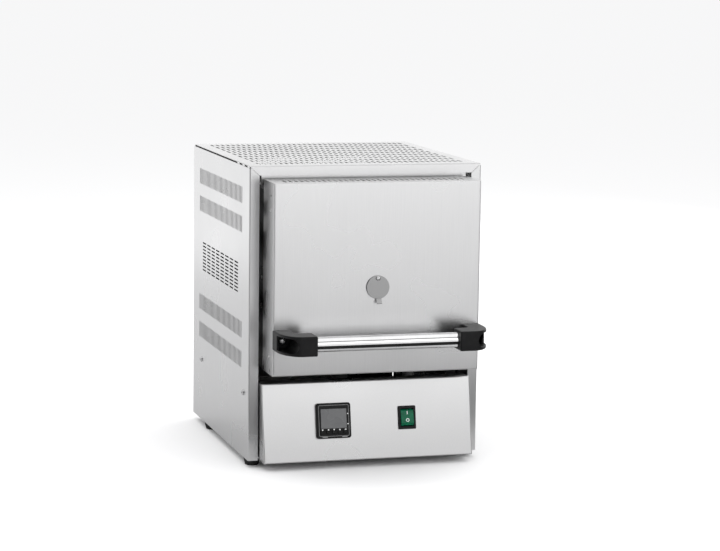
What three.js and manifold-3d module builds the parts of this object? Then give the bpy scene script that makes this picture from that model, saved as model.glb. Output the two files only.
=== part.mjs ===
// A bench-top chamber kiln for small pottery: a stainless casing with a lift-up door on four
// swinging arms, a fibre-insulated chamber heated from both side walls, and a sloping control panel.
//
// Millimetres. +X is the kiln's right as seen from the front, +Y runs from front to back, +Z is up.
// The pieces are drawn with the casing's front plane at y = 0 and its underside at z = 0. The whole
// group is then moved so that the origin lies on the floor, at the middle of the footprint.
import * as THREE from 'three';
import { mergeVertices } from 'three/addons/utils/BufferGeometryUtils.js';
import Module from 'manifold-3d';

const wasm = await Module();
wasm.setup();

// ---- driving dimensions -------------------------------------------------------------------

const GAP = 0.3;                 // clearance between pieces that touch
const SHEET = 1.2;               // casing and door sheet
const LEFT = -1;
const RIGHT = 1;

const CASE = { w: 325, d: 350, h: 400 };
const OPENING = { w: 297.6, top: 387.4 };      // front opening between the folded flanges
const SEAM_Z = 397.2;                          // top edge of the side panels, under the lid's lip
const UNDER_FLANGE = { w: 24, yFront: 13.5 };   // flange folded in under each side
const SCREW_Y = [28, 291];                     // pan-head screws low on each side
const SCREW_Z = 89.5;
const PLATE_X = 161;                           // half width of the plates inside the casing
const PLATE_REAR_Y = 345.8;
const REAR_SHEET = 2.2;
const PARTITION_Z = 112;
const CROSSBAR = { x: 143.8, y: [10, 24], z: [374, 398.4] };

const FOOT = { r: 11.2, rTread: 9.4, h: 10, x: 151, yFront: 25, yRear: 269 };

const CHAMBER = { w: 130, h: 115, d: 200, z: 241, wall: 16.5 };
const MOUTH_Y = 8.6;                           // front ends of the chamber boards
const JACKET = { x: 126, z0: 113.5, z1: 362, y0: 8, y1: 332, sheet: 1 };
const MOUTH_GAP = 6;                           // front plate's opening around the door plug
const MOUTH_PLATE_Y = [6.5, 7.7];
const PROBE = { z: 285, r: 3.5, tipY: 165 };   // thermocouple
const ELEMENT = { rows: [-36, -12, 12, 36], w: 6, reach: [30.6, 202.6] };
const HEARTH = { x: 60, y: [24, 200], h: 7.5 };

const DOOR = { x: 143.2, z0: 125.2, z1: 382.5, yFront: -57.9, yRear: -1 };
const PLUG = { x: 62, h: 54.5, y: 20 };        // block that enters the chamber mouth
const SEAL = { x: 90, h: 85, y: 6.2 };         // flat seal around the plug

const SIGHT = { z: 241.5, tubeR: 7, boreR: 5, coverR: 15.7, pivotUp: 12.1 };
const COVER_Y = [-60.2, -59];
const BACK_PLATE = { x: 141.7, y: [-3.5, -2.3], z: [126.7, 381] };
const DOOR_BLOCK = { x: 138, y: [-49.5, -3.8], z: [130, 378] };   // door insulation

const ARM = { length: 115, half: 8, x: [132, 135], hole: 4.3 };
const UPPER_PIVOT = [18, 325];                 // y and z of the fixed pivots
const LOWER_PIVOT = [42, 248];
const PIN_R = 4;
const FIXED_PLATE = { x: [126.3, 129.3], y: [8.6, 58], z: [232, 341] };
const DOOR_PLATE_X = [137.5, 140.5];

const HANDLE = { z: 174.75, y: -103, tubeR: 10, tubeWall: 1.5, halfTube: 108, halfHeight: 13.25 };
const BRACKET = { outer: 144, inner: 98, front: -120, bendX: 26, bendY: 43, lip: 3.5, screwX: 133 };

const PANEL = { x: 147.3, yBottom: -31.5, zBottom: 1.2, yTop: -11.2, zTop: 107, yRear: 12 };
const TILT = Math.atan2(PANEL.yTop - PANEL.yBottom, PANEL.zTop - PANEL.zBottom);
const PANEL_MID = 54.8;                        // height of the instruments, up the slope

const CONTROLLER = { x: -49.5, size: 48, body: 44.6, depth: 72, face: -5.3, corner: 3.5 };
const DISPLAY = { w: 36, h: 26.5, up: 2.8 };
const KEY = { count: 5, pitch: 8.1, w: 6, h: 4.2, down: 15.6 };

const SWITCH = { x: 55, w: 25, h: 32, face: -2.3, wellW: 18.6, wellH: 24.6, depth: 22 };
const ROCKER = { half: 9, pivotY: 2.5, tiltDeg: 8 };

const INLET = { x: 105, z: 50, bodyW: 27.4, bodyH: 20, depth: 24 };
const INLET_PLATE = { x: [70, 147.4], z: [3.4, 86], corner: 3, lap: 5 };
const SOCKET = { w: 24, h: 16.4, depth: 15 };
const SINK = { x: [-60, 40], y: [180, 270], z: [3, 33], baseH: 6, fins: 11, finW: 2 };
const RELAY = { x: [-32, 13], y: [196, 254], z: [33.3, 61] };
const TERMINALS = { x: [62, 132], y: [276, 298], z: [3, 25] };

// ---- shapes -------------------------------------------------------------------------------

function slab(xs, ys, zs) {
  const size = [xs, ys, zs].map(([a, b]) => Math.abs(b - a));
  const middle = [xs, ys, zs].map(([a, b]) => (a + b) / 2);
  return new THREE.BoxGeometry(...size).translate(...middle);
}

function extruded(outline, depth) {
  const shape = new THREE.Shape(outline.map(([a, b]) => new THREE.Vector2(a, b)));
  return new THREE.ExtrudeGeometry(shape, { depth, bevelEnabled: false });
}

// The outline holds x and z; the prism runs along Y.
function prismY(outline, y0, y1) {
  return extruded(outline, y1 - y0).rotateX(Math.PI / 2).translate(0, y1, 0);
}

// The outline holds y and z; the prism runs along X.
function prismX(outline, xs) {
  const turn = new THREE.Matrix4().makeBasis(
    new THREE.Vector3(0, 1, 0),
    new THREE.Vector3(0, 0, 1),
    new THREE.Vector3(1, 0, 0),
  );
  return extruded(outline, Math.abs(xs[1] - xs[0])).applyMatrix4(turn).translate(Math.min(...xs), 0, 0);
}

// The outline holds x and y; the prism runs along Z.
function prismZ(outline, z0, z1) {
  return extruded(outline, z1 - z0).translate(0, 0, z0);
}

// A round bar along X or Y. `at` holds the other two coordinates, in X, Y, Z order.
function bar(axis, radius, [from, to], at, segments = 16) {
  const length = Math.abs(to - from);
  const middle = (from + to) / 2;
  const round = new THREE.CylinderGeometry(radius, radius, length, segments);
  if (axis === 'x') return round.rotateZ(Math.PI / 2).translate(middle, at[0], at[1]);
  return round.translate(at[0], middle, at[1]);
}

function roundedOutline(w, h, r, steps = 4) {
  const corners = [
    [w / 2 - r, h / 2 - r],
    [r - w / 2, h / 2 - r],
    [r - w / 2, r - h / 2],
    [w / 2 - r, r - h / 2],
  ];
  return corners.flatMap(([x, y], quarter) => Array.from({ length: steps + 1 }, (_, i) => {
    const angle = (quarter + i / steps) * Math.PI / 2;
    return [x + r * Math.cos(angle), y + r * Math.sin(angle)];
  }));
}

// ---- joining and cutting ------------------------------------------------------------------

// Coordinates are rounded, so that faces meant to lie in one plane do so exactly.
function toSolid(geometry) {
  const plain = geometry.clone();
  plain.deleteAttribute('normal');
  plain.deleteAttribute('uv');
  const merged = mergeVertices(plain, 1e-4);
  const snap = value => Math.round(value * 1e4) / 1e4;
  return new wasm.Manifold(new wasm.Mesh({
    numProp: 3,
    vertProperties: Float32Array.from(merged.attributes.position.array, snap),
    triVerts: new Uint32Array(merged.index.array),
  }));
}

function toGeometry(solid) {
  const mesh = solid.getMesh();
  const geometry = new THREE.BufferGeometry();
  geometry.setAttribute('position', new THREE.BufferAttribute(mesh.vertProperties, 3));
  geometry.setIndex(new THREE.BufferAttribute(mesh.triVerts, 1));
  geometry.computeVertexNormals();
  return geometry;
}

function join(...shapes) {
  return toGeometry(shapes.map(toSolid).reduce((whole, piece) => whole.add(piece)));
}

function cut(shape, ...tools) {
  return toGeometry(tools.map(toSolid).reduce((whole, tool) => whole.subtract(tool), toSolid(shape)));
}

// ---- finishes -----------------------------------------------------------------------------

const FINISH = {
  stainless: [0xcfd0d1, 0.35, 0.9],
  darkSteel: [0x1a1a1b, 0.6, 0.6],
  galvanised: [0x9fa3a6, 0.5, 0.8],
  chrome: [0xe6e8ea, 0.08, 1],
  blackPlastic: [0x17181a, 0.5, 0],
  rubber: [0x131313, 0.9, 0],
  display: [0x6d7377, 0.15, 0],
  green: [0x0b7a4b, 0.2, 0],
  fibre: [0xf2efe6, 0.95, 0],
  brick: [0xe9dfc8, 0.9, 0],
  hearth: [0xd9cdb4, 0.85, 0],
  element: [0x5a4f49, 0.7, 0.6],
  zincScrew: [0xc8c9c6, 0.3, 0.9],
  aluminium: [0xb9bcc0, 0.4, 0.9],
  relayWhite: [0xd8d8d4, 0.6, 0],
};

const kiln = new THREE.Group();
kiln.position.set(0, -(CASE.d + BRACKET.front) / 2, FOOT.h);

const panelFace = new THREE.Group();
panelFace.position.set(0, PANEL.yBottom, PANEL.zBottom);
panelFace.rotation.x = -TILT;
panelFace.updateMatrix();
kiln.add(panelFace);

function add(name, finish, geometry, group = kiln) {
  const [color, roughness, metalness] = FINISH[finish];
  const mesh = new THREE.Mesh(geometry, new THREE.MeshStandardMaterial({ color, roughness, metalness }));
  mesh.name = name;
  group.add(mesh);
}

const sideName = side => (side === LEFT ? 'left' : 'right');

// ---- casing -------------------------------------------------------------------------------

// The lid and the side flanges meet along a mitre from the opening's corner to the outer corner.
function mitreZ(x) {
  const inward = (x - OPENING.w / 2) / (CASE.w / 2 - OPENING.w / 2);
  return OPENING.top + inward * (CASE.h - OPENING.top);
}

function sidePanel(side) {
  const half = CASE.w / 2;
  const edge = OPENING.w / 2;
  const seam = 0.4;
  const channel = [
    [half, 0],
    [half, CASE.d],
    [edge, CASE.d],
    [edge, CASE.d - SHEET],
    [half - SHEET, CASE.d - SHEET],
    [half - SHEET, SHEET],
    [edge, SHEET],
    [edge, 0],
  ];
  const aboveMitre = [
    [side * (edge - 5), mitreZ(edge - 5) - seam],
    [side * (half + 5), mitreZ(half + 5) - seam],
    [side * (edge - 5), mitreZ(half + 5)],
  ];
  const folded = join(
    prismZ(channel.map(([x, y]) => [side * x, y]), 0, SEAM_Z),
    slab(
      [side * (half - SHEET / 2), side * (half - UNDER_FLANGE.w)],
      [UNDER_FLANGE.yFront, CASE.d - 0.5],
      [0, SHEET],
    ),
  );
  const holes = SCREW_Y.map(y => bar('x', 2.3, [side * (half - 3), side * (half + 1)], [y, SCREW_Z], 12));
  return cut(
    folded,
    prismY(aboveMitre, -5, SHEET + 0.1),
    prismY(aboveMitre, CASE.d - SHEET - 0.1, CASE.d + 5),
    ...holes,
  );
}

function topPanel() {
  const half = CASE.w / 2;
  const edge = OPENING.w / 2;
  const corner = half - SHEET / 2;
  const high = CASE.h - SHEET / 2;
  const flange = [
    [-edge, OPENING.top],
    [edge, OPENING.top],
    [corner, mitreZ(corner)],
    [corner - 1, high],
    [1 - corner, high],
    [-corner, mitreZ(corner)],
  ];
  const lid = [
    [-half, SEAM_Z + GAP],
    [-half, CASE.h],
    [half, CASE.h],
    [half, SEAM_Z + GAP],
    [half - SHEET, SEAM_Z + GAP],
    [half - SHEET, CASE.h - SHEET],
    [SHEET - half, CASE.h - SHEET],
    [SHEET - half, SEAM_Z + GAP],
  ];
  return join(
    prismY(lid, 0, CASE.d),
    prismY(flange, 0, SHEET),
    prismY(flange, CASE.d - SHEET, CASE.d),
  );
}

function rearPanel() {
  const y = CASE.d - SHEET - GAP;
  const sheet = slab([-PLATE_X, PLATE_X], [y - REAR_SHEET, y], [3, 398]);
  const corner = slab(
    [INLET_PLATE.x[0] + INLET_PLATE.lap, PLATE_X + 5],
    [y - 5, y + 5],
    [0, INLET_PLATE.z[1] - INLET_PLATE.lap],
  );
  return cut(sheet, corner);
}

function panHeadScrew(side, y) {
  const skin = side * CASE.w / 2;
  return join(
    bar('x', 4, [skin + side * GAP, skin + side * 2.7], [y, SCREW_Z], 16),
    bar('x', 2, [skin - side * 6, skin + side], [y, SCREW_Z], 10),
  );
}

function rubberFoot(x, y) {
  const { r, rTread, h } = FOOT;
  const profile = [[0, -h], [rTread - 1, -h], [rTread, 1 - h], [r, -2], [r, -GAP], [0, -GAP]];
  const points = profile.map(([r, z]) => new THREE.Vector2(r, z));
  return new THREE.LatheGeometry(points, 20).rotateX(Math.PI / 2).translate(x, y, 0);
}

function frontCrossbar() {
  const { x, y, z } = CROSSBAR;
  return join(
    slab([-x, x], [y[0], y[0] + SHEET], z),
    slab([-x, x], y, [z[0], z[0] + SHEET]),
  );
}

for (const side of [LEFT, RIGHT]) {
  add(`${sideName(side)}_side_panel`, 'stainless', sidePanel(side));
  SCREW_Y.forEach((y, i) => {
    add(`side_screw_${sideName(side)}_${['front', 'rear'][i]}`, 'zincScrew', panHeadScrew(side, y));
  });
  add(`foot_front_${sideName(side)}`, 'rubber', rubberFoot(side * FOOT.x, FOOT.yFront));
  add(`foot_rear_${sideName(side)}`, 'rubber', rubberFoot(side * FOOT.x, FOOT.yRear));
}
add('top_panel', 'stainless', topPanel());
add('rear_panel', 'stainless', rearPanel());
add('base_plate', 'galvanised', slab(
  [-PLATE_X, PLATE_X],
  [PANEL.yRear + 1, PLATE_REAR_Y],
  [SHEET + GAP, 2 * SHEET + GAP],
));
add('partition_plate', 'darkSteel', slab(
  [-PLATE_X, PLATE_X],
  [PANEL.yRear + 2, PLATE_REAR_Y],
  [PARTITION_Z, PARTITION_Z + SHEET],
));
add('front_crossbar', 'galvanised', frontCrossbar());

// ---- chamber ------------------------------------------------------------------------------

const room = {
  x: CHAMBER.w / 2,
  z0: CHAMBER.z - CHAMBER.h / 2,
  z1: CHAMBER.z + CHAMBER.h / 2,
  y1: MOUTH_Y + CHAMBER.d,
};
const shell = {
  x: room.x + CHAMBER.wall,
  z0: room.z0 - CHAMBER.wall,
  z1: room.z1 + CHAMBER.wall,
  y1: room.y1 + CHAMBER.wall,
};

const probeHole = (y0, y1) => bar('y', PROBE.r + 0.6, [y0, y1], [0, PROBE.z]);

function chamberJacket() {
  const { x, z0, z1, y0, y1, sheet } = JACKET;
  const outside = slab([-x, x], [y0, y1], [z0, z1]);
  const inside = slab([sheet - x, x - sheet], [y0 - 5, y1 - sheet], [z0 + sheet, z1 - sheet]);
  return cut(outside, inside, probeHole(y1 - 5, y1 + 5));
}

function chamberFrontPlate() {
  const { x, z0, z1 } = JACKET;
  const mouthX = PLUG.x + MOUTH_GAP;
  const mouthH = PLUG.h + MOUTH_GAP;
  return cut(
    slab([-x, x], MOUTH_PLATE_Y, [z0, z1]),
    slab([-mouthX, mouthX], [0, 20], [CHAMBER.z - mouthH, CHAMBER.z + mouthH]),
  );
}

function chamberInsulation() {
  const x = JACKET.x - JACKET.sheet - GAP;
  const rear = JACKET.y1 - JACKET.sheet - GAP;
  return cut(
    slab([-x, x], [JACKET.y0 + GAP, rear], [JACKET.z0 + 1.3, JACKET.z1 - 1.3]),
    slab([-shell.x - GAP, shell.x + GAP], [0, shell.y1 + GAP], [shell.z0 - GAP, shell.z1 + GAP]),
    probeHole(shell.y1 - 5, rear + 5),
  );
}

// One meandering run: four level rows joined end to end. `grow` widens it into its groove.
function meander(x0, x1, grow) {
  const rows = ELEMENT.rows.map(up => CHAMBER.z + up);
  const { reach, w } = ELEMENT;
  const half = w / 2 + grow;
  const level = z => slab([x0, x1], [reach[0] - grow, reach[1] + grow], [z - half, z + half]);
  const link = (end, low) => slab(
    [x0, x1],
    [reach[end] - (end ? w : 0) - grow, reach[end] + (end ? 0 : w) + grow],
    [rows[low] - half, rows[low + 1] + half],
  );
  return join(...rows.map(level), link(0, 0), link(1, 1), link(0, 2));
}

function chamberSideWall(side) {
  const board = slab([side * room.x, side * shell.x], [MOUTH_Y, shell.y1], [room.z0, room.z1]);
  const xs = [side * (room.x - 1), side * (room.x + 9)];
  return cut(board, meander(Math.min(...xs), Math.max(...xs), 1.5));
}

function heatingElement(side) {
  const xs = [side * (room.x + 1), side * (room.x + 7)];
  return meander(Math.min(...xs), Math.max(...xs), 0);
}

function thermocouple() {
  return join(
    bar('y', PROBE.r, [PROBE.tipY, JACKET.y1 + 3], [0, PROBE.z]),
    bar('y', 9, [JACKET.y1 + 1, JACKET.y1 + 13], [0, PROBE.z], 20),
  );
}

add('chamber_jacket', 'darkSteel', chamberJacket());
add('chamber_front_plate', 'stainless', chamberFrontPlate());
add('chamber_insulation', 'fibre', chamberInsulation());
add('chamber_floor', 'brick', slab([-shell.x, shell.x], [MOUTH_Y, shell.y1], [shell.z0, room.z0 - GAP]));
add('chamber_roof', 'brick', slab([-shell.x, shell.x], [MOUTH_Y, shell.y1], [room.z1 + GAP, shell.z1]));
add('chamber_back_wall', 'brick', cut(
  slab([GAP - room.x, room.x - GAP], [room.y1, shell.y1], [room.z0, room.z1]),
  probeHole(room.y1 - 5, shell.y1 + 5),
));
for (const side of [LEFT, RIGHT]) {
  add(`chamber_${sideName(side)}_wall`, 'brick', chamberSideWall(side));
  add(`heating_element_${sideName(side)}`, 'element', heatingElement(side));
}
add('hearth_plate', 'hearth', slab([-HEARTH.x, HEARTH.x], HEARTH.y, [room.z0 + GAP, room.z0 + HEARTH.h]));
add('thermocouple', 'brick', thermocouple());

// ---- door lift ----------------------------------------------------------------------------

// Each arm hangs straight down from its fixed pivot to its pivot on the door.
function liftArm(side, [y, z]) {
  const { length, half, x, hole } = ARM;
  const tip = z - length;
  const xs = x.map(value => side * value);
  const outline = [];
  const steps = 8;
  for (let i = 0; i <= steps; i += 1) {
    const angle = Math.PI * i / steps;
    outline.push([y + half * Math.cos(angle), z + half * Math.sin(angle)]);
  }
  for (let i = 0; i <= steps; i += 1) {
    const angle = Math.PI * (1 + i / steps);
    outline.push([y + half * Math.cos(angle), tip + half * Math.sin(angle)]);
  }
  const bore = [side * (x[0] - 1), side * (x[1] + 1)];
  return cut(
    prismX(outline, xs),
    bar('x', hole, bore, [y, z]),
    bar('x', hole, bore, [y, tip]),
  );
}

function pin(side, xs, [y, z]) {
  return bar('x', PIN_R, xs.map(x => side * x), [y, z], 16);
}

function fixedHingePlate(side) {
  const { x, y, z } = FIXED_PLATE;
  const plate = slab(x.map(value => side * value), y, z);
  const reach = [x[0] + 1, ARM.x[1] + 0.8];
  return join(plate, pin(side, reach, UPPER_PIVOT), pin(side, reach, LOWER_PIVOT));
}

function doorHingePlate(side) {
  const upper = [UPPER_PIVOT[0], UPPER_PIVOT[1] - ARM.length];
  const lower = [LOWER_PIVOT[0], LOWER_PIVOT[1] - ARM.length];
  const outline = [[-2, 127], [10, 124.5], [50, 124.5], [52, 136], [30, 212], [26, 262], [-2, 262]];
  const reach = [ARM.x[0] - 0.8, DOOR_PLATE_X[1] - 1];
  return join(
    prismX(outline, DOOR_PLATE_X.map(x => side * x)),
    slab([side * 122, side * DOOR_PLATE_X[1]], [-2, 1], [127, 262]),
    pin(side, reach, upper),
    pin(side, reach, lower),
  );
}

for (const side of [LEFT, RIGHT]) {
  add(`hinge_plate_${sideName(side)}`, 'darkSteel', fixedHingePlate(side));
  add(`upper_arm_${sideName(side)}`, 'darkSteel', liftArm(side, UPPER_PIVOT));
  add(`lower_arm_${sideName(side)}`, 'darkSteel', liftArm(side, LOWER_PIVOT));
  add(`door_bracket_${sideName(side)}`, 'darkSteel', doorHingePlate(side));
}

// ---- door ---------------------------------------------------------------------------------

const sightBore = (radius, y0, y1) => bar('y', radius, [y0, y1], [0, SIGHT.z]);
const coverPivotZ = SIGHT.z + SIGHT.pivotUp;

function doorShell() {
  const { x, z0, z1, yFront, yRear } = DOOR;
  const screwHole = side => bar('y', 2.6, [yFront - 5, yFront + 5], [side * BRACKET.screwX, HANDLE.z], 12);
  return cut(
    slab([-x, x], [yFront, yRear], [z0, z1]),
    slab([SHEET - x, x - SHEET], [yFront + SHEET, yRear + 5], [z0 + SHEET, z1 - SHEET]),
    sightBore(SIGHT.tubeR + GAP, yFront - 5, yFront + 5),
    bar('y', 2, [yFront - 5, yFront + 5], [0, coverPivotZ], 12),
    screwHole(LEFT),
    screwHole(RIGHT),
  );
}

function doorBackPlate() {
  const opening = 2;
  return cut(
    slab([-BACK_PLATE.x, BACK_PLATE.x], BACK_PLATE.y, BACK_PLATE.z),
    slab(
      [-SEAL.x - opening, SEAL.x + opening],
      [-10, 10],
      [CHAMBER.z - SEAL.h - opening, CHAMBER.z + SEAL.h + opening],
    ),
  );
}

function doorInsulation() {
  const block = join(
    slab([-DOOR_BLOCK.x, DOOR_BLOCK.x], DOOR_BLOCK.y, DOOR_BLOCK.z),
    slab([-SEAL.x, SEAL.x], [-5, SEAL.y], [CHAMBER.z - SEAL.h, CHAMBER.z + SEAL.h]),
    slab([-PLUG.x, PLUG.x], [0, PLUG.y], [CHAMBER.z - PLUG.h, CHAMBER.z + PLUG.h]),
  );
  return cut(block, sightBore(SIGHT.tubeR + GAP, -60, 30));
}

function sightTube() {
  const [front, rear] = [DOOR.yFront, PLUG.y];
  return cut(sightBore(SIGHT.tubeR, front, rear), sightBore(SIGHT.boreR, front - 5, rear + 5));
}

function sightCover() {
  const disc = bar('y', SIGHT.coverR, COVER_Y, [0, SIGHT.z], 32);
  const bottom = SIGHT.z - SIGHT.coverR;
  const tab = slab([-4.5, 4.5], COVER_Y, [bottom - 6, bottom + 2]);
  return cut(join(disc, tab), bar('y', 1.9, [COVER_Y[0] - 5, COVER_Y[1] + 5], [0, coverPivotZ], 12));
}

function sightCoverScrew() {
  return join(
    bar('y', 3.2, [COVER_Y[0] - 2.2, COVER_Y[0] - GAP], [0, coverPivotZ], 16),
    bar('y', 1.6, [COVER_Y[0] - 1, DOOR.yFront + 4], [0, coverPivotZ], 10),
  );
}

// The bracket's outline seen from above: a foot on the door, curving forward to the tube's socket.
function handleBracket(side) {
  const { outer, inner, front, bendX, bendY } = BRACKET;
  const foot = DOOR.yFront - GAP;
  const bend = [];
  for (let i = 0; i <= 8; i += 1) {
    const angle = Math.PI / 2 * i / 8;
    bend.push([outer - bendX + bendX * Math.cos(angle), front + bendY - bendY * Math.sin(angle)]);
  }
  const outline = [
    [outer, foot],
    ...bend,
    [inner + 2, front],
    [inner, front + 2],
    [inner, -90],
    [inner + 3, -87],
    [inner + 15, -86.2],
    [inner + 19.5, -83],
    [inner + 21.5, -77],
    [inner + 22, foot],
  ];
  const low = HANDLE.z - HANDLE.halfHeight;
  const high = HANDLE.z + HANDLE.halfHeight;
  const body = prismZ(outline.map(([x, y]) => [side * x, y]), low, high);
  const pocketHalf = HANDLE.halfHeight - BRACKET.lip;
  const pocketZ = [HANDLE.z - pocketHalf, HANDLE.z + pocketHalf];
  const screwAt = [side * BRACKET.screwX, HANDLE.z];
  return cut(
    body,
    slab([side * (outer - 3), screwAt[0]], [-130, -68], pocketZ),
    slab([side * (outer + 6), side * (outer - 4)], [-130, -80], pocketZ),
    bar('y', pocketHalf, [-130, -68], screwAt, 24),
    bar('y', 2.6, [-70, -50], screwAt, 12),
    bar('x', HANDLE.tubeR + GAP, [side * 90, side * (HANDLE.halfTube + GAP)], [HANDLE.y, HANDLE.z], 24),
  );
}

function handleScrew(side) {
  const at = [side * BRACKET.screwX, HANDLE.z];
  return join(bar('y', 4.5, [-71, -68 - GAP], at, 16), bar('y', 2.2, [-70, -50], at, 10));
}

function handleTube() {
  const { y, z, tubeR, tubeWall, halfTube } = HANDLE;
  return cut(
    bar('x', tubeR, [-halfTube, halfTube], [y, z], 32),
    bar('x', tubeR - tubeWall, [-halfTube - 5, halfTube + 5], [y, z], 24),
  );
}

add('door_shell', 'stainless', doorShell());
add('door_back_plate', 'stainless', doorBackPlate());
add('door_insulation', 'fibre', doorInsulation());
add('sight_tube', 'brick', sightTube());
add('sight_cover', 'stainless', sightCover());
add('sight_cover_screw', 'zincScrew', sightCoverScrew());
add('handle_tube', 'chrome', handleTube());
for (const side of [LEFT, RIGHT]) {
  add(`handle_bracket_${sideName(side)}`, 'blackPlastic', handleBracket(side));
  add(`handle_screw_${sideName(side)}`, 'zincScrew', handleScrew(side));
}

// ---- control panel ------------------------------------------------------------------------
// Instruments are drawn on the sloping face: y points into the panel and z runs up the slope.

function onPanel(geometry) {
  return geometry.applyMatrix4(panelFace.matrix);
}

function controlPanel() {
  const { x, yBottom, zBottom, yTop, zTop, yRear } = PANEL;
  const skin = SHEET / Math.cos(TILT);
  const rim = SHEET * Math.tan(TILT);
  const outside = [[yBottom, zBottom], [yTop, zTop], [yRear, zTop], [yRear, zBottom]];
  const inside = [
    [yBottom + skin + rim, zBottom + SHEET],
    [yTop + skin - rim, zTop - SHEET],
    [yRear + 5, zTop - SHEET],
    [yRear + 5, zBottom + SHEET],
  ];
  const cutout = (centre, w, h) => onPanel(slab(
    [centre - w / 2, centre + w / 2],
    [-5, 5],
    [PANEL_MID - h / 2, PANEL_MID + h / 2],
  ));
  const body = CONTROLLER.body + 2 * GAP;
  return cut(
    prismX(outside, [-x, x]),
    prismX(inside, [SHEET - x, x - SHEET]),
    cutout(CONTROLLER.x, body, body),
    cutout(SWITCH.x, SWITCH.w - 3, SWITCH.h - 3),
  );
}

const keyXs = Array.from(
  { length: KEY.count },
  (_, i) => CONTROLLER.x + (i - (KEY.count - 1) / 2) * KEY.pitch,
);
const keyZ = PANEL_MID - KEY.down;

function temperatureController() {
  const { x, size, body, depth, face, corner } = CONTROLLER;
  const z = PANEL_MID;
  const bezel = prismY(roundedOutline(size, size, corner).map(([a, b]) => [x + a, z + b]), face, -GAP);
  const housing = slab([x - body / 2, x + body / 2], [-2, depth], [z - body / 2, z + body / 2]);
  const [halfW, halfH] = [DISPLAY.w / 2 + GAP, DISPLAY.h / 2 + GAP];
  const window = slab(
    [x - halfW, x + halfW],
    [face - 2, face + 1.6],
    [z + DISPLAY.up - halfH, z + DISPLAY.up + halfH],
  );
  const keyWells = keyXs.map(centre => slab(
    [centre - KEY.w / 2 - GAP, centre + KEY.w / 2 + GAP],
    [face - 2, face + 4],
    [keyZ - KEY.h / 2 - GAP, keyZ + KEY.h / 2 + GAP],
  ));
  return cut(join(bezel, housing), window, ...keyWells);
}

function controllerDisplay() {
  const { x, face } = CONTROLLER;
  const z = PANEL_MID + DISPLAY.up;
  return slab(
    [x - DISPLAY.w / 2, x + DISPLAY.w / 2],
    [face + 0.3, face + 1.3],
    [z - DISPLAY.h / 2, z + DISPLAY.h / 2],
  );
}

function controllerKey(centre) {
  const { face } = CONTROLLER;
  return slab(
    [centre - KEY.w / 2, centre + KEY.w / 2],
    [face - 0.6, face + 3],
    [keyZ - KEY.h / 2, keyZ + KEY.h / 2],
  );
}

function switchFrame() {
  const { x, w, h, face, wellW, wellH, depth } = SWITCH;
  const z = PANEL_MID;
  const collar = prismY(roundedOutline(w, h, 1.5, 3).map(([a, b]) => [x + a, z + b]), face, -GAP);
  const housing = slab([x - w / 2 + 1.8, x + w / 2 - 1.8], [-1, depth], [z - h / 2 + 1.8, z + h / 2 - 1.8]);
  const well = slab([x - wellW / 2, x + wellW / 2], [face - 5, 14], [z - wellH / 2, z + wellH / 2]);
  return cut(join(collar, housing), well);
}

// The section is symmetrical about the pivot; at rest the top end is pressed in.
function powerRocker() {
  const section = [
    [-6.5, -8.8], [-6.5, 8.8], [-2.9, 11.5], [1.5, 11.3], [5, 7.5], [5, -7.5], [1.5, -11.3], [-2.9, -11.5],
  ];
  return prismX(section, [SWITCH.x - ROCKER.half, SWITCH.x + ROCKER.half])
    .rotateX(-THREE.MathUtils.degToRad(ROCKER.tiltDeg))
    .translate(0, ROCKER.pivotY, PANEL_MID);
}

add('control_panel', 'stainless', controlPanel());
add('temperature_controller', 'blackPlastic', temperatureController(), panelFace);
add('controller_display', 'display', controllerDisplay(), panelFace);
keyXs.forEach((centre, i) => {
  add(`controller_key_${i + 1}`, 'blackPlastic', controllerKey(centre), panelFace);
});
add('power_switch_frame', 'blackPlastic', switchFrame(), panelFace);
add('power_rocker', 'green', powerRocker(), panelFace);

// ---- electrical bay -----------------------------------------------------------------------

function relayHeatSink() {
  const { x, y, z, baseH, fins, finW } = SINK;
  const pitch = (x[1] - x[0] - finW) / (fins - 1);
  const finList = Array.from({ length: fins }, (_, i) => {
    const left = x[0] + i * pitch;
    return slab([left, left + finW], y, [z[0], z[1] - baseH + 1]);
  });
  return join(slab(x, y, [z[1] - baseH, z[1]]), ...finList);
}

function powerInlet() {
  const { x, z, bodyW, bodyH, depth } = INLET;
  const [left, right] = INLET_PLATE.x;
  const [low, high] = INLET_PLATE.z;
  const rear = CASE.d;
  const outline = roundedOutline(right - left, high - low, INLET_PLATE.corner);
  const centred = outline.map(([a, b]) => [(left + right) / 2 + a, (low + high) / 2 + b]);
  const plate = prismY(centred, rear - SHEET, rear);
  const body = slab(
    [x - bodyW / 2, x + bodyW / 2],
    [rear - depth, rear - SHEET / 2],
    [z - bodyH / 2, z + bodyH / 2],
  );
  const socket = slab(
    [x - SOCKET.w / 2, x + SOCKET.w / 2],
    [rear - SOCKET.depth, rear + 5],
    [z - SOCKET.h / 2, z + SOCKET.h / 2],
  );
  return cut(join(plate, body), socket);
}

add('relay_heat_sink', 'aluminium', relayHeatSink());
add('solid_state_relay', 'relayWhite', slab(RELAY.x, RELAY.y, RELAY.z));
add('terminal_block', 'relayWhite', slab(TERMINALS.x, TERMINALS.y, TERMINALS.z));
add('power_inlet', 'blackPlastic', powerInlet());

export default kiln;
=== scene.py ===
import math

import bmesh
import bpy
from mathutils import Matrix, Vector


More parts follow.
